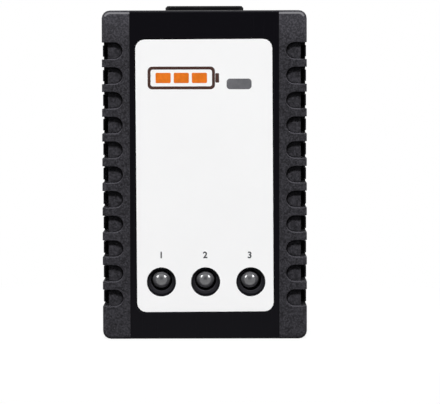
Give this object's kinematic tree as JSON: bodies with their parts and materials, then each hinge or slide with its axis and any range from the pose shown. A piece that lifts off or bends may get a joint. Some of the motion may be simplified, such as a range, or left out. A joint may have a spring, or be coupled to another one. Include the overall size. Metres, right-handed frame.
{
  "type": "balance battery charger",
  "caption": "Mains battery charger for balance leads: upright black moulded case with D-shaped vent pockets, white label, domed lamps, figure-eight inlet and end sockets.",
  "frame": {"origin": "middle of the bottom end face, the end with the balance sockets", "axes": "+X across the width, +Y from the labelled front to the back, +Z along the length towards the mains inlet"},
  "size_m": [0.056, 0.035, 0.0914],
  "materials": {
    "textured_black_plastic": "fine spark-eroded ABS with a polished middle band",
    "white_label": "satin film sticker",
    "zinc_steel": "zinc plated",
    "black_nylon": "moulded satin",
    "nickel_brass": "nickel plated",
    "white_nylon": "moulded satin",
    "tinned_brass": "bright tin",
    "clear_epoxy": "grey diffused casting",
    "tinned_steel": "bright tin",
    "board_laminate": "green solder resist",
    "ceramic_body": "moulded box",
    "yellow_film_box": "moulded case",
    "ferrite": "sintered, ground",
    "enamelled_copper": "enamelled wire",
    "black_epoxy": "moulded",
    "capacitor_sleeve": "heat-shrunk film",
    "yellow_tape": "polyester tape",
    "bare_aluminium": "rolled sheet",
    "blue_ceramic": "dipped resin"
  },
  "bodies": {
    "root": {"front_shell": "textured_black_plastic", "rear_shell": "textured_black_plastic", "front_label": "white_label", "case_screws": "zinc_steel", "mains_inlet_housing": "black_nylon", "inlet_pin_left": "nickel_brass", "inlet_pin_right": "nickel_brass", "two_cell_socket": "white_nylon", "two_cell_socket_pins": "tinned_brass", "three_cell_socket": "white_nylon", "three_cell_socket_pins": "tinned_brass", "lamp_lens_1": "clear_epoxy", "lamp_leads_1": "tinned_steel", "lamp_lens_2": "clear_epoxy", "lamp_leads_2": "tinned_steel", "lamp_lens_3": "clear_epoxy", "lamp_leads_3": "tinned_steel", "main_circuit_board": "board_laminate", "mains_fuse": "ceramic_body", "input_filter_capacitor": "yellow_film_box", "choke_core": "ferrite", "choke_windings": "enamelled_copper", "bridge_rectifier": "black_epoxy", "bulk_capacitor": "capacitor_sleeve", "transformer_core": "ferrite", "transformer_bobbin": "black_nylon", "transformer_winding": "yellow_tape", "heat_sink": "bare_aluminium", "switching_transistor": "black_epoxy", "optocoupler": "white_nylon", "bridging_capacitor": "blue_ceramic", "output_diode": "black_epoxy", "output_capacitors": "capacitor_sleeve", "charge_controllers": "black_epoxy", "charge_transistors": "black_epoxy"}
  },
  "joints": []
}
